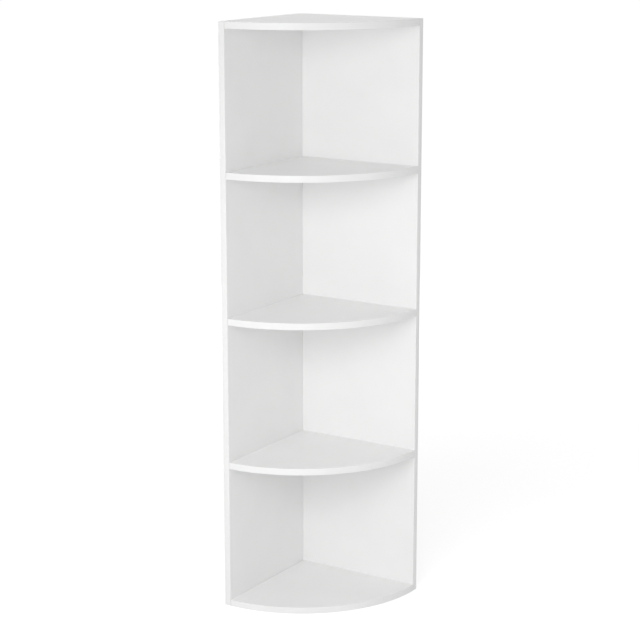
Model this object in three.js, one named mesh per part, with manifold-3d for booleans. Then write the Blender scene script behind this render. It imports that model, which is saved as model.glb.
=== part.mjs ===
// Corner shelf unit. Two wall panels meet at a right angle in the corner of a room and carry five
// quarter-round boards, which leave four open bays between them.
//
// Millimetres, +Z up. The origin lies on the floor under the middle of the square that the unit
// fills. The left panel stands along the wall at -X and the right panel along the wall at +Y, so
// the wall corner is at -X +Y and the open front faces +X and -Y.
//
// The boards are melamine-faced chipboard with edge bands glued to the edges that show. Screws
// driven through the panels from the wall side clamp the boards, dowels keep them in line, and the
// same screws and dowels join the two panels at the corner.
import * as THREE from "three";
import { mergeVertices } from "three/addons/utils/BufferGeometryUtils.js";
import Module from "manifold-3d";

const wasm = await Module();
wasm.setup();

// Unit
const SIDE = 320; // outside width of either panel, from the wall corner to its front edge
const HEIGHT = 1320; // from the floor to the top board's upper face
const BOARD = 15; // thickness of every board
const BOTTOM_BAY = 312; // clear height of the lowest bay
const LOWER_BAY = 316; // clear height of the bay above it
const UPPER_BAY = 309; // clear height of the next; the top bay takes the height that is left
const BUTT_GAP = 0.1; // play where one board butts against another

// Edge bands
const BAND = 0.8; // thickness of the plastic strip
const GLUE_LINE = 0.1; // adhesive between a board and its strip

// Screws, countersunk with a hexagon socket
const SCREW_LENGTH = 50;
const SHANK_RADIUS = 3.15; // outside of the thread
const HEAD_RADIUS = 4.75;
const HEAD_RIM = 0.6; // height of the head's straight rim
const HEAD_DEPTH = 3.4; // from the head's top to the end of its cone
const HEAD_RECESS = 0.3; // how far the head lies below the panel's face
const TIP_LENGTH = 3;
const TIP_RADIUS = 1.6;
const SOCKET_SIDES = 6;
const SOCKET_ACROSS_FLATS = 4;
const SOCKET_DEPTH = 2.6;
const SCREW_FROM_CORNER = 60; // from the right or left panel's inner face to the screw at the back
const SCREW_FROM_FRONT = 50; // from the front edge to the screw at the front
const PILOT_SPARE = 2; // depth of a pilot hole past the screw's tip

// Dowels
const DOWEL_RADIUS = 4;
const DOWEL_LENGTH = 30;
const DOWEL_IN_PANEL = 10; // length of the dowel that sits in the panel it crosses
const DOWEL_CHAMFER = 1;
const DOWEL_SPARE = 0.6; // depth of a dowel hole past the dowel's end

// How high the corner's screw and dowel sit in each bay, as shares of its clear height
const CORNER_SHARES = { screw: 1 / 2, dowel: 3 / 4 };

// Working values of the shapes
const FIT_GAP = 0.3; // all round a screw or dowel in its hole
const CUT_OVERRUN = 1; // how far a cutter starts outside the face that it cuts
const ARC_STEPS = 48; // straight steps along a quarter-round edge
const ROUND_STEPS = 12; // sides of a screw, dowel or hole

// Derived places, measured from the wall corner
const LOWER_SHELF = BOARD + BOTTOM_BAY;
const MIDDLE_SHELF = LOWER_SHELF + BOARD + LOWER_BAY;
const UPPER_SHELF = MIDDLE_SHELF + BOARD + UPPER_BAY;
const TOP_BOARD = HEIGHT - BOARD;
const BOARDS = [
  { name: "bottom_board", underside: 0 },
  { name: "lower_shelf", underside: LOWER_SHELF },
  { name: "middle_shelf", underside: MIDDLE_SHELF },
  { name: "upper_shelf", underside: UPPER_SHELF },
  { name: "top_board", underside: TOP_BOARD },
];
const BAYS = [
  { name: "bottom_bay", floor: BOARD, ceiling: LOWER_SHELF },
  { name: "lower_bay", floor: LOWER_SHELF + BOARD, ceiling: MIDDLE_SHELF },
  { name: "upper_bay", floor: MIDDLE_SHELF + BOARD, ceiling: UPPER_SHELF },
  { name: "top_bay", floor: UPPER_SHELF + BOARD, ceiling: TOP_BOARD },
];
const EDGE_ALLOWANCE = BAND + GLUE_LINE; // what a banded edge gives up to its strip
const SEAT = BOARD + BUTT_GAP; // where a board's straight edges start
const ARC_RADIUS = SIDE - SEAT; // the curved edge ends flush with the panels' front edges
const SCREW_PLACES = { back: BOARD + SCREW_FROM_CORNER, front: SIDE - SCREW_FROM_FRONT };
const DOWEL_PLACE = (SCREW_PLACES.back + SCREW_PLACES.front) / 2;
const DOWEL_START = BOARD - DOWEL_IN_PANEL; // depth of the dowel's end below the panel's outer face

const melamine = new THREE.MeshStandardMaterial({ color: 0xf1f1f0, roughness: 0.45, metalness: 0 });
const edgePlastic = new THREE.MeshStandardMaterial({ color: 0xf5f5f4, roughness: 0.35, metalness: 0 });
const zincSteel = new THREE.MeshStandardMaterial({ color: 0xb9bcbf, roughness: 0.35, metalness: 1 });
const beech = new THREE.MeshStandardMaterial({ color: 0xd2ab7a, roughness: 0.7, metalness: 0 });

// Turns closed three.js geometry into a solid that can be cut.
function solidOf(geometry) {
  const bare = geometry.clone();
  bare.deleteAttribute("normal");
  bare.deleteAttribute("uv");
  const merged = mergeVertices(bare);
  return new wasm.Manifold(
    new wasm.Mesh({
      numProp: 3,
      vertProperties: new Float32Array(merged.attributes.position.array),
      triVerts: new Uint32Array(merged.index.array),
    }),
  );
}

// Turns a solid back into three.js geometry with flat faces.
function geometryOf(solid) {
  const mesh = solid.getMesh();
  const indexed = new THREE.BufferGeometry();
  indexed.setAttribute("position", new THREE.BufferAttribute(mesh.vertProperties, 3));
  indexed.setIndex(new THREE.BufferAttribute(mesh.triVerts, 1));
  const flat = indexed.toNonIndexed();
  flat.computeVertexNormals();
  return flat;
}

function cut(geometry, cutters) {
  const solid = cutters.reduce((left, cutter) => left.subtract(solidOf(cutter)), solidOf(geometry));
  return geometryOf(solid);
}

// A box between two corners.
function block([x0, y0, z0], [x1, y1, z1]) {
  const geometry = new THREE.BoxGeometry(x1 - x0, y1 - y0, z1 - z0);
  return geometry.translate((x0 + x1) / 2, (y0 + y1) / 2, (z0 + z1) / 2);
}

// A round solid on the Y axis, from [radius, depth] pairs that start and end on the axis.
function turned(profile) {
  return new THREE.LatheGeometry(
    profile.map(([radius, depth]) => new THREE.Vector2(radius, depth)),
    ROUND_STEPS,
  );
}

// A fastening is laid out on the Y axis with its depth counted from the outer face of the panel it
// goes through. These turn that axis into the left panel, along +X, or the right panel, along -Y.
const INTO_PANEL = {
  left: new THREE.Euler(0, 0, -Math.PI / 2),
  right: new THREE.Euler(0, 0, Math.PI),
};

// The point of a panel's outer face that lies so far from the wall corner, at height z.
function onPanel(side, fromCorner, z) {
  return side === "left" ? new THREE.Vector3(0, -fromCorner, z) : new THREE.Vector3(fromCorner, 0, z);
}

function placed(geometry, side, fromCorner, z) {
  const place = new THREE.Matrix4().makeRotationFromEuler(INTO_PANEL[side]);
  return geometry.clone().applyMatrix4(place.setPosition(onPanel(side, fromCorner, z)));
}

// Fasteners

function screwGeometry() {
  const body = turned([
    [0, HEAD_RECESS],
    [HEAD_RADIUS, HEAD_RECESS],
    [HEAD_RADIUS, HEAD_RECESS + HEAD_RIM],
    [SHANK_RADIUS, HEAD_RECESS + HEAD_DEPTH],
    [SHANK_RADIUS, HEAD_RECESS + SCREW_LENGTH - TIP_LENGTH],
    [TIP_RADIUS, HEAD_RECESS + SCREW_LENGTH],
    [0, HEAD_RECESS + SCREW_LENGTH],
  ]);
  const radius = SOCKET_ACROSS_FLATS / 2 / Math.cos(Math.PI / SOCKET_SIDES);
  const length = SOCKET_DEPTH + CUT_OVERRUN;
  const socket = new THREE.CylinderGeometry(radius, radius, length, SOCKET_SIDES);
  socket.translate(0, HEAD_RECESS + SOCKET_DEPTH - length / 2, 0);
  return cut(body, [socket]);
}

function dowelGeometry() {
  return turned([
    [0, DOWEL_START],
    [DOWEL_RADIUS - DOWEL_CHAMFER, DOWEL_START],
    [DOWEL_RADIUS, DOWEL_START + DOWEL_CHAMFER],
    [DOWEL_RADIUS, DOWEL_START + DOWEL_LENGTH - DOWEL_CHAMFER],
    [DOWEL_RADIUS - DOWEL_CHAMFER, DOWEL_START + DOWEL_LENGTH],
    [0, DOWEL_START + DOWEL_LENGTH],
  ]);
}

// Holes for the fasteners

// A plain round hole between two depths.
function hole(radius, start, end) {
  return turned([[0, start], [radius, start], [radius, end], [0, end]]);
}

// Through a panel, with a countersink that follows the screw's head.
function screwClearanceHole() {
  return turned([
    [0, -CUT_OVERRUN],
    [HEAD_RADIUS + FIT_GAP, -CUT_OVERRUN],
    [HEAD_RADIUS + FIT_GAP, HEAD_RECESS + HEAD_RIM],
    [SHANK_RADIUS + FIT_GAP, HEAD_RECESS + HEAD_DEPTH],
    [SHANK_RADIUS + FIT_GAP, BOARD + CUT_OVERRUN],
    [0, BOARD + CUT_OVERRUN],
  ]);
}

// Into the edge of the board that the screw clamps.
function screwPilotHole() {
  return hole(SHANK_RADIUS + FIT_GAP, SEAT - CUT_OVERRUN, HEAD_RECESS + SCREW_LENGTH + PILOT_SPARE);
}

// Into the inner face of a panel, without reaching its outer face.
function dowelPanelHole() {
  return hole(DOWEL_RADIUS + FIT_GAP, DOWEL_START - DOWEL_SPARE, BOARD + CUT_OVERRUN);
}

// Into the edge of the board that the dowel locates.
function dowelEdgeHole() {
  return hole(DOWEL_RADIUS + FIT_GAP, SEAT - CUT_OVERRUN, DOWEL_START + DOWEL_LENGTH + DOWEL_SPARE);
}

// Places of the fastenings. Each has the panel that it goes through, its distance from the wall
// corner and its height.

// The fastenings of one board, at its own mid thickness.
function boardFastenings(name, underside) {
  const z = underside + BOARD / 2;
  return ["left", "right"].flatMap((side) => [
    { kind: "screw", name: `${name}_${side}_back_screw`, side, at: SCREW_PLACES.back, z },
    { kind: "screw", name: `${name}_${side}_front_screw`, side, at: SCREW_PLACES.front, z },
    { kind: "dowel", name: `${name}_${side}_dowel`, side, at: DOWEL_PLACE, z },
  ]);
}

// One screw and one dowel in a bay, which join the right panel's back edge to the left panel.
function cornerFastenings(name, floor, ceiling) {
  return ["screw", "dowel"].map((kind) => ({
    kind,
    name: `${name}_corner_${kind}`,
    side: "left",
    at: BOARD / 2,
    z: floor + (ceiling - floor) * CORNER_SHARES[kind],
  }));
}

const inBoards = BOARDS.flatMap(({ name, underside }) => boardFastenings(name, underside));
const inCorner = BAYS.flatMap(({ name, floor, ceiling }) => cornerFastenings(name, floor, ceiling));

const PANEL_HOLES = { screw: screwClearanceHole(), dowel: dowelPanelHole() };
const EDGE_HOLES = { screw: screwPilotHole(), dowel: dowelEdgeHole() };

function holesFor(fastenings, holes) {
  return fastenings.map((f) => placed(holes[f.kind], f.side, f.at, f.z));
}

// Boards

const CORE_WIDTH_END = SIDE - EDGE_ALLOWANCE;
const CORE_HEIGHT = HEIGHT - EDGE_ALLOWANCE;

// The left panel runs the full width to the wall corner and takes the ends of the other boards.
function leftPanelGeometry() {
  const core = block([0, -CORE_WIDTH_END, 0], [BOARD, -EDGE_ALLOWANCE, CORE_HEIGHT]);
  const through = inBoards.filter((f) => f.side === "left").concat(inCorner);
  return cut(core, holesFor(through, PANEL_HOLES));
}

// The right panel butts against the left one.
function rightPanelGeometry() {
  const core = block([SEAT, -BOARD, 0], [CORE_WIDTH_END, 0, CORE_HEIGHT]);
  const through = inBoards.filter((f) => f.side === "right");
  return cut(core, [...holesFor(through, PANEL_HOLES), ...holesFor(inCorner, EDGE_HOLES)]);
}

// Raises an outline by a board's thickness. The outline's origin goes to the corner between the
// panels' inner faces, and its underside to height zero.
function raised(outline) {
  const settings = { depth: BOARD, bevelEnabled: false, curveSegments: ARC_STEPS / 2 };
  return new THREE.ExtrudeGeometry(outline, settings).translate(SEAT, -SEAT, 0);
}

// A quarter disc that fills the corner between the panels.
function quarterBoardGeometry() {
  const radius = ARC_RADIUS - EDGE_ALLOWANCE;
  const outline = new THREE.Shape();
  outline.lineTo(0, -radius);
  outline.absarc(0, 0, radius, -Math.PI / 2, 0, false);
  outline.lineTo(0, 0);
  return cut(raised(outline), holesFor(boardFastenings("board", 0), EDGE_HOLES));
}

// The strip round a quarter disc's curved edge.
function quarterBandGeometry() {
  const outline = new THREE.Shape();
  outline.absarc(0, 0, ARC_RADIUS, -Math.PI / 2, 0, false);
  outline.absarc(0, 0, ARC_RADIUS - BAND, 0, -Math.PI / 2, true);
  return raised(outline);
}

// Straight strips on the panels' edges: from one corner to the other.
const PANEL_BANDS = {
  left_panel_front_band: [[0, -SIDE, 0], [BOARD, -SIDE + BAND, HEIGHT]],
  left_panel_back_band: [[0, -BAND, 0], [BOARD, 0, HEIGHT]],
  left_panel_top_band: [[0, -CORE_WIDTH_END, HEIGHT - BAND], [BOARD, -EDGE_ALLOWANCE, HEIGHT]],
  right_panel_front_band: [[SIDE - BAND, -BOARD, 0], [SIDE, 0, HEIGHT]],
  right_panel_top_band: [[SEAT, -BOARD, HEIGHT - BAND], [CORE_WIDTH_END, 0, HEIGHT]],
};

// Assembly

const unit = new THREE.Group();
unit.position.set(-SIDE / 2, SIDE / 2, 0);

function add(name, geometry, material) {
  const mesh = new THREE.Mesh(geometry, material);
  mesh.name = name;
  unit.add(mesh);
  return mesh;
}

add("left_panel", leftPanelGeometry(), melamine);
add("right_panel", rightPanelGeometry(), melamine);
for (const [name, corners] of Object.entries(PANEL_BANDS)) {
  add(name, block(...corners), edgePlastic);
}

const quarterBoard = quarterBoardGeometry();
const quarterBand = quarterBandGeometry();
for (const { name, underside } of BOARDS) {
  add(name, quarterBoard, melamine).position.z = underside;
  add(`${name}_band`, quarterBand, edgePlastic).position.z = underside;
}

const FASTENERS = {
  screw: { geometry: screwGeometry(), material: zincSteel },
  dowel: { geometry: dowelGeometry(), material: beech },
};
for (const f of [...inBoards, ...inCorner]) {
  const mesh = add(f.name, FASTENERS[f.kind].geometry, FASTENERS[f.kind].material);
  mesh.rotation.copy(INTO_PANEL[f.side]);
  mesh.position.copy(onPanel(f.side, f.at, f.z));
}

const part = new THREE.Group();
part.add(unit);

export default part;
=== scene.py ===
import math

import bmesh
import bpy
from mathutils import Matrix, Vector


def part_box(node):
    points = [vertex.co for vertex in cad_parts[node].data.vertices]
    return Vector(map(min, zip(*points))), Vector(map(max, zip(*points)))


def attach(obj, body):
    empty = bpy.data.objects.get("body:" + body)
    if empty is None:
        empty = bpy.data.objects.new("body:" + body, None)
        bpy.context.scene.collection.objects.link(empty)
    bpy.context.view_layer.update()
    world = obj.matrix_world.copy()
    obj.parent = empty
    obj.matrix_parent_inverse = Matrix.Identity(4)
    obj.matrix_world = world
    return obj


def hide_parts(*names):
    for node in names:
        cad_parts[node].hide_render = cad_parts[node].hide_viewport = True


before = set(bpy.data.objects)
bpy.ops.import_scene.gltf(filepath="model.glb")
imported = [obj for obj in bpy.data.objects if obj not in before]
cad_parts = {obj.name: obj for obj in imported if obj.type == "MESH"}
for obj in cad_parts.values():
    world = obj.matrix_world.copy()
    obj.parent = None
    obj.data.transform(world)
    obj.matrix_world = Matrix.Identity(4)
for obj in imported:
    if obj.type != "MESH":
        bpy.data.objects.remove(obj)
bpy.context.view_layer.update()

MM = 0.001

# Pieces
BOARDS = ["bottom_board", "lower_shelf", "middle_shelf", "upper_shelf", "top_board"]
STRAIGHT_BANDS = {  # with the way that each one faces
    "left_panel_front_band": (0, -1, 0),
    "left_panel_back_band": (0, 1, 0),
    "left_panel_top_band": (0, 0, 1),
    "right_panel_front_band": (1, 0, 0),
    "right_panel_top_band": (0, 0, 1),
}
SCREWS = [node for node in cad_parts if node.endswith("_screw")]
DOWELS = [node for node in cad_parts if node.endswith("_dowel")]

# Edges of boards and bands
ROUND_PROFILE = 0.5  # makes a bevel a part of a circle
BOARD_EASE = 0.2 * MM
BOARD_EASE_STEPS = 2
BOARD_LEAN = math.radians(75)  # up to which melamine covers a face that leans off the flat
BAND_GLUE = 0.1 * MM  # between a curved band and its board
BAND_ROUND = 0.4 * MM
BAND_ROUND_STEPS = 4
BAND_END_ROUND = 0.3 * MM
BAND_END_STEPS = 2
BAND_SHORT = 0.5 * MM  # of each panel, which leaves a fine seam
ARC_STEPS = 180

# Angles between faces, below which they are shaded smooth
BOARD_SMOOTH_BELOW = math.radians(15)  # smooths arcs and holes, and leaves eased edges crisp
TURNED_SMOOTH_BELOW = math.radians(35)

# Screws, as depths from the face of the head
HEAD_EASE = 0.3 * MM
HEAD_RIM = 0.6 * MM
HEAD_DEPTH = 3.4 * MM
SHANK_RADIUS = 3.15 * MM
SHANK_END = 13 * MM
CORE_RADIUS = 2.3 * MM
PITCH = 2.6 * MM
PITCH_STEPS = 8
RIDGE_SHARE = 2 / 3  # of the pitch
RUN_OUT = 3 * MM
TIP_LENGTH = 3 * MM
TIP_RADIUS = 1.2 * MM
SOCKET_FLAT = 2 * MM
SOCKET_DEPTH = 2.6 * MM
SOCKET_EASE = 0.25 * MM
SCREW_STEPS = 36

# Dowels
DOWEL_CHAMFER = 1 * MM
FLUTES = 16
FLUTE_DEPTH = 0.35 * MM
DOWEL_STEPS = 6 * FLUTES

# Holes
HOLE_GAP = 0.3 * MM  # round a fastener
HOLE_OVERRUN = 1 * MM  # out of the face that a screw enters
PILOT_SPARE = 2 * MM  # beyond a screw's tip
DOWEL_SPARE = 0.6 * MM  # beyond each end of a dowel
HOLE_STEPS = 48

# Sizes of the marks in each surface
NOISE_DETAIL = 3.0
NOISE_ROUGHNESS = 0.55
BUMP_STRENGTH = 0.7
BOARD_CLOUD = 110 * MM
BOARD_PEARL = 0.9 * MM
BOARD_PEARL_DEPTH = 0.03 * MM
BOARD_SMEAR = 30 * MM
BAND_CLOUD = 70 * MM
BAND_SMEAR = 12 * MM
BAND_LINES = (16 * MM, 16 * MM, 0.4 * MM)
BAND_LINES_DEPTH = 0.02 * MM
CHIP = 2.4 * MM
CHIP_DEPTH = 0.4 * MM
PLATING_CLOUD = 2 * MM
PLATING_GRAIN = 0.4 * MM
PLATING_GRAIN_DEPTH = 0.02 * MM
BEECH_GRAIN = (1.1 * MM, 1.1 * MM, 25 * MM)
BEECH_GRAIN_DEPTH = 0.1 * MM

# Colours of each surface, at places along a ramp from 0 to 1, and its least and most roughness
BOARD_COLOURS = {0.3: (0.890, 0.890, 0.888), 0.7: (0.910, 0.910, 0.908)}
BOARD_ROUGHNESS = (0.38, 0.48)
BAND_COLOURS = {0.3: (0.875, 0.875, 0.873), 0.7: (0.895, 0.895, 0.893)}
BAND_ROUGHNESS = (0.36, 0.46)
CHIP_COLOURS = {
    0.0: (0.47, 0.33, 0.19),
    0.35: (0.60, 0.45, 0.28),
    0.7: (0.70, 0.56, 0.37),
    1.0: (0.36, 0.24, 0.13),
}
CHIP_ROUGHNESS = (0.85, 0.95)
PLATING_COLOURS = {0.3: (0.58, 0.60, 0.63), 0.7: (0.70, 0.70, 0.69)}
PLATING_ROUGHNESS = (0.24, 0.40)
BEECH_COLOURS = {0.25: (0.50, 0.32, 0.17), 0.5: (0.63, 0.43, 0.25), 0.8: (0.72, 0.53, 0.33)}
BEECH_ROUGHNESS = (0.6, 0.8)

# Camera, with azimuths counted from the front (-Y) towards +X, lengths in metres and its lens in mm
CAMERA_AIM = Vector((-0.003, -0.003, 0.657))
CAMERA_AZIMUTH = math.radians(32.41)
CAMERA_ELEVATION = math.radians(13.07)
CAMERA_DISTANCE = 4.106
CAMERA_LENS = 103.47

# Studio, its lengths in metres
WHITE = (1.0, 1.0, 1.0, 1.0)
ROOM_LIGHT = 0.62
FLOOR_SIDE = 60
FLOOR_GREY = 0.85
FLOOR_GLOW = {"near": 0.39, "far": 0.48}
FLOOR_FADE = {"near": 1.0, "far": 3.5}  # distances from the object
LAMPS = {  # each stands at an azimuth and faces a place in that azimuth, by its distance and height
    "key_light": {
        "azimuth": 15,
        "away": 3.0,
        "height": 1.5,
        "faces": (0, 0.75),
        "size": (1.8, 1.6),
        "watts": 28,
    },
    "shelf_light": {
        "azimuth": 20,
        "away": 1.6,
        "height": 1.35,
        "faces": (1.6, 0),
        "size": (1.6, 1.2),
        "watts": 7,
    },
    "back_light": {
        "azimuth": 225,
        "away": 3.4,
        "height": 0.9,
        "faces": (0, 0.7),
        "size": (2.4, 1.6),
        "watts": 14,
    },
}


def out_from(azimuth, elevation=0.0):
    """The way out from the object at an azimuth and elevation."""
    flat = math.cos(elevation)
    return Vector((math.sin(azimuth) * flat, -math.cos(azimuth) * flat, math.sin(elevation)))


def add_object(name, data):
    thing = bpy.data.objects.new(name, data)
    bpy.context.scene.collection.objects.link(thing)
    return thing


def make_camera():
    data = bpy.data.cameras.new("camera")
    data.lens = CAMERA_LENS
    camera = add_object("camera", data)
    back = out_from(CAMERA_AZIMUTH, CAMERA_ELEVATION)
    camera.location = CAMERA_AIM + back * CAMERA_DISTANCE
    camera.rotation_euler = back.to_track_quat("Z", "Y").to_euler()
    bpy.context.scene.camera = camera


make_camera()


# Shader nodes

class Nodes:
    """Adds nodes to the shader tree of a material or a world, and links them."""

    def __init__(self, owner, output):
        owner.use_nodes = True
        self.tree = owner.node_tree
        self.tree.nodes.clear()
        self.output = self.tree.nodes.new(output)

    def add(self, kind, inputs, **settings):
        node = self.tree.nodes.new(kind)
        for key, value in settings.items():
            setattr(node, key, value)
        for socket, value in inputs.items():
            if isinstance(value, bpy.types.NodeSocket):
                self.tree.links.new(value, node.inputs[socket])
            else:
                node.inputs[socket].default_value = value
        return node.outputs

    def surface(self, shader):
        self.tree.links.new(shader[0], self.output.inputs["Surface"])

    def place(self):
        return self.add("ShaderNodeTexCoord", {})["Object"]

    def stretched(self, sizes):
        """The place, scaled so that one unit is the given size along each axis."""
        scale = [1 / size for size in sizes]
        return self.add("ShaderNodeMapping", {"Vector": self.place(), "Scale": scale})[0]

    def noise(self, *sizes):
        """Soft noise, with one size for all axes or a size for each."""
        place = self.stretched(sizes if len(sizes) > 1 else sizes * 3)
        return self.add("ShaderNodeTexNoise", {
            "Vector": place,
            "Scale": 1.0,
            "Detail": NOISE_DETAIL,
            "Roughness": NOISE_ROUGHNESS,
        })[0]

    def span(self, value, low, high, start=0.0, end=1.0):
        """Maps start to end onto low to high."""
        return self.add("ShaderNodeMapRange", {
            "Value": value,
            "From Min": start,
            "From Max": end,
            "To Min": low,
            "To Max": high,
        })[0]

    def colours(self, value, stops):
        """The colours of a ramp, from its positions and their colours, two or more."""
        ramp = self.tree.nodes.new("ShaderNodeValToRGB")
        self.tree.links.new(value, ramp.inputs[0])
        elements = ramp.color_ramp.elements
        for position in sorted(stops)[len(elements):]:
            elements.new(position)
        for element, position in zip(elements, sorted(stops)):
            element.position = position
            element.color = (*stops[position], 1.0)
        return ramp.outputs[0]

    def bump(self, height, depth):
        inputs = {"Height": height, "Distance": depth, "Strength": BUMP_STRENGTH}
        return self.add("ShaderNodeBump", inputs)[0]

    def highest(self, *values):
        most = values[0]
        for value in values[1:]:
            most = self.add("ShaderNodeMath", {0: most, 1: value}, operation="MAXIMUM")[0]
        return most

    def seen_directly(self):
        """1 for what is seen by the camera, in a reflection or through glass, and 0 for the light
        that is cast on the object."""
        path = self.add("ShaderNodeLightPath", {})
        rays = ("Is Camera Ray", "Is Glossy Ray", "Is Transmission Ray")
        return self.highest(*(path[ray] for ray in rays))


def new_material(name):
    material = bpy.data.materials.new(name)
    return material, Nodes(material, "ShaderNodeOutputMaterial")


# Materials

def melamine():
    """White melamine paper with a fine pearl texture pressed into it."""
    material, n = new_material("melamine_board")
    n.surface(n.add("ShaderNodeBsdfPrincipled", {
        "Base Color": n.colours(n.noise(BOARD_CLOUD), BOARD_COLOURS),
        "Roughness": n.span(n.noise(BOARD_SMEAR), *BOARD_ROUGHNESS),
        "Normal": n.bump(n.noise(BOARD_PEARL), BOARD_PEARL_DEPTH),
    }))
    return material


def edge_band():
    """White plastic strip, a little smoother than the board, with faint lines along its length."""
    material, n = new_material("edge_band")
    n.surface(n.add("ShaderNodeBsdfPrincipled", {
        "Base Color": n.colours(n.noise(BAND_CLOUD), BAND_COLOURS),
        "Roughness": n.span(n.noise(BAND_SMEAR), *BAND_ROUGHNESS),
        "Normal": n.bump(n.noise(*BAND_LINES), BAND_LINES_DEPTH),
    }))
    return material


def chipboard():
    """The raw core of a board: pressed wood chips in straw and brown."""
    material, n = new_material("chipboard_core")
    inputs = {"Vector": n.place(), "Scale": 1 / CHIP}
    chips = n.add("ShaderNodeTexVoronoi", inputs)["Distance"]
    n.surface(n.add("ShaderNodeBsdfPrincipled", {
        "Base Color": n.colours(chips, CHIP_COLOURS),
        "Roughness": n.span(chips, *CHIP_ROUGHNESS),
        "Normal": n.bump(chips, CHIP_DEPTH),
    }))
    return material


def zinc():
    """Zinc-plated steel, cloudy where the plating is thicker."""
    material, n = new_material("zinc_screw")
    cloud = n.noise(PLATING_CLOUD)
    n.surface(n.add("ShaderNodeBsdfPrincipled", {
        "Base Color": n.colours(cloud, PLATING_COLOURS),
        "Metallic": 1.0,
        "Roughness": n.span(cloud, *PLATING_ROUGHNESS),
        "Normal": n.bump(n.noise(PLATING_GRAIN), PLATING_GRAIN_DEPTH),
    }))
    return material


def beech():
    """Bare beech, its grain along the dowel."""
    material, n = new_material("beech_dowel")
    grain = n.noise(*BEECH_GRAIN)
    n.surface(n.add("ShaderNodeBsdfPrincipled", {
        "Base Color": n.colours(grain, BEECH_COLOURS),
        "Roughness": n.span(grain, *BEECH_ROUGHNESS),
        "Normal": n.bump(grain, BEECH_GRAIN_DEPTH),
    }))
    return material


BOARD_MATERIALS = [melamine(), chipboard()]
MELAMINE, CORE = range(len(BOARD_MATERIALS))
BAND_MATERIALS = [edge_band()]
SCREW_MATERIALS = [zinc()]
DOWEL_MATERIALS = [beech()]


# Meshes

def plain_mesh(bm, name, materials):
    bmesh.ops.recalc_face_normals(bm, faces=bm.faces)
    mesh = bpy.data.meshes.new(name)
    bm.to_mesh(mesh)
    bm.free()
    for material in materials:
        mesh.materials.append(material)
    return mesh


def smoothed(mesh, below):
    """The mesh, smooth where two of its faces meet at less than an angle."""
    mesh.shade_smooth()
    mesh.set_sharp_from_angle(angle=below)
    return mesh


def round_edges(bm, edges, radius, steps):
    bmesh.ops.bevel(
        bm, geom=edges, offset=radius, segments=steps, profile=ROUND_PROFILE, affect="EDGES"
    )


def skin(bm, loops):
    """Adds a closed solid through loops of points. Returns the flat faces at its ends."""
    rings = [[bm.verts.new(point) for point in loop] for loop in loops]
    for near, far in zip(rings, rings[1:]):
        for k in range(len(near)):
            bm.faces.new((near[k - 1], near[k], far[k], far[k - 1]))
    return [bm.faces.new(rings[0]), bm.faces.new(rings[-1])]


def ring(depth, radius, steps):
    """Points round Z at a depth, from the radius at each angle."""
    angles = [2 * math.pi * k / steps for k in range(steps)]
    return [
        (radius(angle) * math.cos(angle), radius(angle) * math.sin(angle), depth)
        for angle in angles
    ]


def turned(rings, steps):
    """A solid round Z, from depths and the radius there at each angle."""
    bm = bmesh.new()
    skin(bm, [ring(depth, radius, steps) for depth, radius in rings])
    return bm


def round_at(radius):
    """A radius that is the same at each angle."""
    return lambda angle: radius


def box_solid(node):
    low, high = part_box(node)
    bm = bmesh.new()
    place = Matrix.Translation((low + high) / 2) @ Matrix.Diagonal((*(high - low), 1.0))
    bmesh.ops.create_cube(bm, size=1.0, matrix=place)
    return bm


def quarter_arc(corner, radius, height, short=0.0):
    """Points round a board's corner, from the left panel's side to the right panel's, with a
    length left off at each end."""
    first = short / radius
    step = (math.pi / 2 - 2 * first) / ARC_STEPS
    turns = [first + step * k for k in range(ARC_STEPS + 1)]
    return [
        Vector((corner.x + radius * math.sin(turn), corner.y - radius * math.cos(turn), height))
        for turn in turns
    ]


# Fasteners, made along Z from their outer ends and placed on the axes of their nodes

def runs_along_x(node):
    low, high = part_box(node)
    return high.x - low.x > high.y - low.y


def placing(node):
    """Turns a fastener's Z into its node's axis, and puts its outer end where the node begins."""
    low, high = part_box(node)
    centre = (low + high) / 2
    if runs_along_x(node):
        start, way = Vector((low.x, centre.y, centre.z)), Vector((1, 0, 0))
    else:
        start, way = Vector((centre.x, high.y, centre.z)), Vector((0, -1, 0))
    return Matrix.Translation(start) @ way.to_track_quat("Z", "X").to_matrix().to_4x4()


def length_of(node):
    low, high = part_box(node)
    return max(high - low)


def radius_of(node):
    """Half a fastener's height, as all of them lie level."""
    low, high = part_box(node)
    return (high.z - low.z) / 2


def hexagon(flat):
    """The radius of a hexagon at each angle, from the distance of its flats."""
    side = math.pi / 3
    return lambda angle: flat / math.cos(angle % side - side / 2)


def thread_at(depth, end):
    """The radius of the thread at each angle: a ridge that winds round the core."""
    run_out = min(1.0, (depth - SHANK_END) / RUN_OUT, (end - depth) / RUN_OUT)
    ridge = (SHANK_RADIUS - CORE_RADIUS) * run_out

    def radius(angle):
        turns = (depth / PITCH - angle / (2 * math.pi)) % 1.0
        off_ridge = abs(turns - 1 / 2)
        return CORE_RADIUS + ridge * max(0.0, 1.0 - off_ridge * 2 / RIDGE_SHARE)

    return radius


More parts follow.
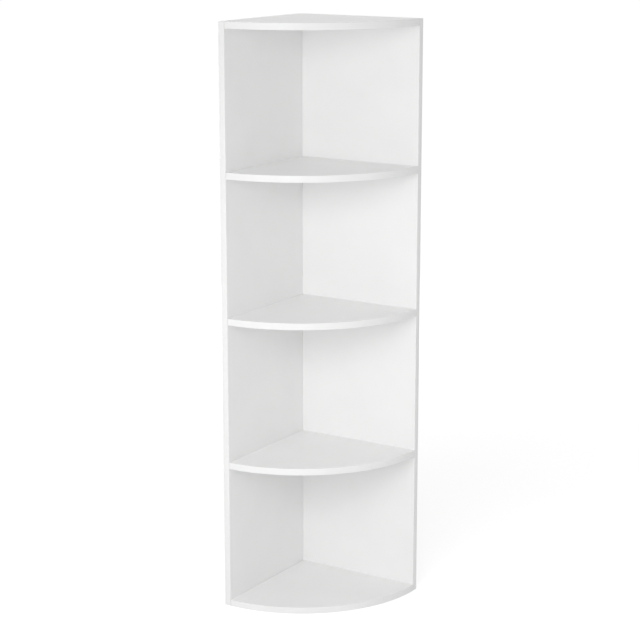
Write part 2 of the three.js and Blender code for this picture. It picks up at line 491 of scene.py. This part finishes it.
def screw_mesh():
    length = length_of(SCREWS[0])
    head = radius_of(SCREWS[0])
    thread_end = length - TIP_LENGTH
    step = PITCH / PITCH_STEPS
    thread = [SHANK_END + step * k for k in range(1, int((thread_end - SHANK_END) / step))]
    rings = [
        (SOCKET_DEPTH, hexagon(SOCKET_FLAT)),
        (SOCKET_EASE, hexagon(SOCKET_FLAT)),
        (0.0, hexagon(SOCKET_FLAT + SOCKET_EASE)),
        (0.0, round_at(head - HEAD_EASE)),
        (HEAD_EASE, round_at(head)),
        (HEAD_RIM, round_at(head)),
        (HEAD_DEPTH, round_at(SHANK_RADIUS)),
        (SHANK_END - step, round_at(SHANK_RADIUS)),
        (SHANK_END, round_at(CORE_RADIUS)),
        *((depth, thread_at(depth, thread_end)) for depth in thread),
        (thread_end, round_at(CORE_RADIUS)),
        (length, round_at(TIP_RADIUS)),
    ]
    mesh = plain_mesh(turned(rings, SCREW_STEPS), "screw", SCREW_MATERIALS)
    return smoothed(mesh, TURNED_SMOOTH_BELOW)


def dowel_mesh():
    length = length_of(DOWELS[0])
    radius = radius_of(DOWELS[0])

    def fluted(angle):
        return radius - FLUTE_DEPTH * max(0.0, math.cos(FLUTES * angle)) ** 2

    rings = [
        (0.0, round_at(radius - DOWEL_CHAMFER)),
        (DOWEL_CHAMFER, fluted),
        (length - DOWEL_CHAMFER, fluted),
        (length, round_at(radius - DOWEL_CHAMFER)),
    ]
    mesh = plain_mesh(turned(rings, DOWEL_STEPS), "dowel", DOWEL_MATERIALS)
    return smoothed(mesh, TURNED_SMOOTH_BELOW)


def hole_solid(node):
    """What the hole of a fastener takes out of the boards that it crosses."""
    wide = round_at(radius_of(node) + HOLE_GAP)
    shank = round_at(SHANK_RADIUS + HOLE_GAP)
    length = length_of(node)
    rings = {
        "screw": [
            (-HOLE_OVERRUN, wide),
            (HEAD_RIM, wide),
            (HEAD_DEPTH, shank),
            (length + PILOT_SPARE, shank),
        ],
        "dowel": [(-DOWEL_SPARE, wide), (length + DOWEL_SPARE, wide)],
    }
    bm = turned(rings[node.split("_")[-1]], HOLE_STEPS)
    bm.transform(placing(node))
    return bm


# Boards

def all_holes(fasteners):
    """One mesh with every hole, its faces set to the raw core of the board."""
    holes = bmesh.new()
    for node in fasteners:
        part = bpy.data.meshes.new("hole")
        solid = hole_solid(node)
        solid.to_mesh(part)
        solid.free()
        holes.from_mesh(part)
        bpy.data.meshes.remove(part)
    for face in holes.faces:
        face.material_index = CORE
    return plain_mesh(holes, "holes", BOARD_MATERIALS)


def drilled(mesh, fasteners):
    """The mesh less the holes of its fasteners, which show the raw core."""
    board = add_object("board", mesh)
    holes = add_object("holes", all_holes(fasteners))
    cut = board.modifiers.new("holes", "BOOLEAN")
    cut.object = holes
    cut.operation = "DIFFERENCE"
    cut.solver = "EXACT"
    cut_board = board.evaluated_get(bpy.context.evaluated_depsgraph_get())
    result = bpy.data.meshes.new_from_object(cut_board)
    bpy.data.objects.remove(board)
    bpy.data.objects.remove(holes)
    return smoothed(result, BOARD_SMOOTH_BELOW)


def board_mesh(bm, name, flat_way, fasteners):
    """A drilled board, with melamine on its two large faces and its raw core elsewhere."""
    bmesh.ops.recalc_face_normals(bm, faces=bm.faces)
    for face in bm.faces:
        covered = abs(face.normal.dot(Vector(flat_way))) > math.cos(BOARD_LEAN)
        face.material_index = MELAMINE if covered else CORE
    return drilled(plain_mesh(bm, name, BOARD_MATERIALS), fasteners)


def panel_mesh(node, flat_way, fasteners):
    bm = box_solid(node)
    round_edges(bm, bm.edges[:], BOARD_EASE, BOARD_EASE_STEPS)
    return board_mesh(bm, node, flat_way, fasteners)


def quarter_board_mesh(node):
    low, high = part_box(node)
    corner = Vector((low.x, high.y, low.z))
    bm = bmesh.new()
    skin(bm, [
        [Vector((corner.x, corner.y, height)), *quarter_arc(corner, high.x - low.x, height)]
        for height in (low.z, high.z)
    ])
    level = [edge for edge in bm.edges if edge.verts[0].co.z == edge.verts[1].co.z]
    round_edges(bm, level, BOARD_EASE, BOARD_EASE_STEPS)
    own = [fastener for fastener in SCREWS + DOWELS if fastener.startswith(f"{node}_")]
    return board_mesh(bm, node, (0, 0, 1), own)


# Edge bands

def straight_band_mesh(node, outward):
    """A strip whose outer edges are scraped round."""
    low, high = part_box(node)
    middle = (low + high) / 2
    bm = box_solid(node)
    outer = [
        edge for edge in bm.edges
        if all((vert.co - middle).dot(Vector(outward)) > 0 for vert in edge.verts)
    ]
    round_edges(bm, outer, BAND_ROUND, BAND_ROUND_STEPS)
    return smoothed(plain_mesh(bm, node, BAND_MATERIALS), BOARD_SMOOTH_BELOW)


def band_section(thickness, height):
    """Points round a strip's section, as depths from its outer face and heights."""
    points = [(thickness, 0.0), (thickness, height)]
    for middle, first_turn in ((height - BAND_ROUND, 0.0), (BAND_ROUND, math.pi / 2)):
        for k in range(BAND_ROUND_STEPS + 1):
            turn = first_turn + math.pi / 2 * k / BAND_ROUND_STEPS
            depth = BAND_ROUND * (1 - math.sin(turn))
            points.append((depth, middle + BAND_ROUND * math.cos(turn)))
    return points


def curved_band_mesh(board):
    """A strip bent round the curved edge of a board, its ends scraped round."""
    board_low, board_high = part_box(board)
    low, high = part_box(f"{board}_band")
    corner = Vector((board_low.x, board_high.y, low.z))
    lines = [
        quarter_arc(corner, high.x - corner.x - depth, low.z + height, BAND_SHORT)
        for depth, height in band_section(high.x - board_high.x - BAND_GLUE, high.z - low.z)
    ]
    bm = bmesh.new()
    ends = skin(bm, zip(*lines))
    round_edges(bm, [edge for end in ends for edge in end.edges], BAND_END_ROUND, BAND_END_STEPS)
    return smoothed(plain_mesh(bm, f"{board}_band", BAND_MATERIALS), BOARD_SMOOTH_BELOW)


# The unit

def add_piece(node, mesh, place=None):
    """Adds a piece that takes a node's place in the picture, and moves it if it is given a place."""
    piece = add_object(f"{node}_finished", mesh)
    if place is not None:
        piece.matrix_world = place
    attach(piece, "root")
    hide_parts(node)


def add_panels():
    """Fasteners along X are in the left panel. The others are in the right panel, and so are the
    ones that join both panels at the back corner."""
    in_left = [node for node in SCREWS + DOWELS if runs_along_x(node)]
    in_right = [node for node in SCREWS + DOWELS if node not in in_left or "_corner_" in node]
    left = panel_mesh("left_panel", (1, 0, 0), in_left)
    right = panel_mesh("right_panel", (0, 1, 0), in_right)
    add_piece("left_panel", left)
    add_piece("right_panel", right)
    for node, outward in STRAIGHT_BANDS.items():
        add_piece(node, straight_band_mesh(node, outward))


def add_boards():
    for board in BOARDS:
        add_piece(board, quarter_board_mesh(board))
        add_piece(f"{board}_band", curved_band_mesh(board))


def add_fasteners():
    screw = screw_mesh()
    dowel = dowel_mesh()
    for node in SCREWS:
        add_piece(node, screw, placing(node))
    for node in DOWELS:
        add_piece(node, dowel, placing(node))


add_panels()
add_boards()
add_fasteners()


# Studio

def floor_material():
    """Pale grey to the light that the floor throws back, and white to the eye, with the shadow
    of the object kept in it."""
    material, n = new_material("floor")
    pale = n.add("ShaderNodeBsdfDiffuse", {"Color": (FLOOR_GREY, FLOOR_GREY, FLOOR_GREY, 1.0)})
    distance = n.add("ShaderNodeVectorMath", {0: n.place()}, operation="LENGTH")["Value"]
    strength = n.span(
        distance, FLOOR_GLOW["near"], FLOOR_GLOW["far"], FLOOR_FADE["near"], FLOOR_FADE["far"]
    )
    glow = n.add("ShaderNodeEmission", {"Strength": strength})
    white = n.add("ShaderNodeAddShader", {0: pale[0], 1: glow[0]})
    n.surface(n.add("ShaderNodeMixShader", {0: n.seen_directly(), 1: pale[0], 2: white[0]}))
    return material


def make_floor():
    bm = bmesh.new()
    bmesh.ops.create_grid(bm, x_segments=1, y_segments=1, size=FLOOR_SIDE / 2)
    add_object("floor", plain_mesh(bm, "floor", [floor_material()]))


def make_world():
    """White to the eye, and an even light on the object from all round."""
    world = bpy.data.worlds.new("studio")
    bpy.context.scene.world = world
    n = Nodes(world, "ShaderNodeOutputWorld")
    strength = n.span(n.seen_directly(), ROOM_LIGHT, 1.0)
    n.surface(n.add("ShaderNodeBackground", {"Color": WHITE, "Strength": strength}))


def make_lamp(name, azimuth, away, height, faces, size, watts):
    data = bpy.data.lights.new(name, "AREA")
    data.shape = "RECTANGLE"
    data.size, data.size_y = size
    data.energy = watts
    lamp = add_object(name, data)
    out = out_from(math.radians(azimuth))
    lamp.location = out * away + Vector((0, 0, height))
    faced = out * faces[0] + Vector((0, 0, faces[1]))
    lamp.rotation_euler = (lamp.location - faced).to_track_quat("Z", "Y").to_euler()


make_floor()
make_world()
for name, settings in LAMPS.items():
    make_lamp(name, **settings)
bpy.context.scene.view_settings.view_transform = "Standard"
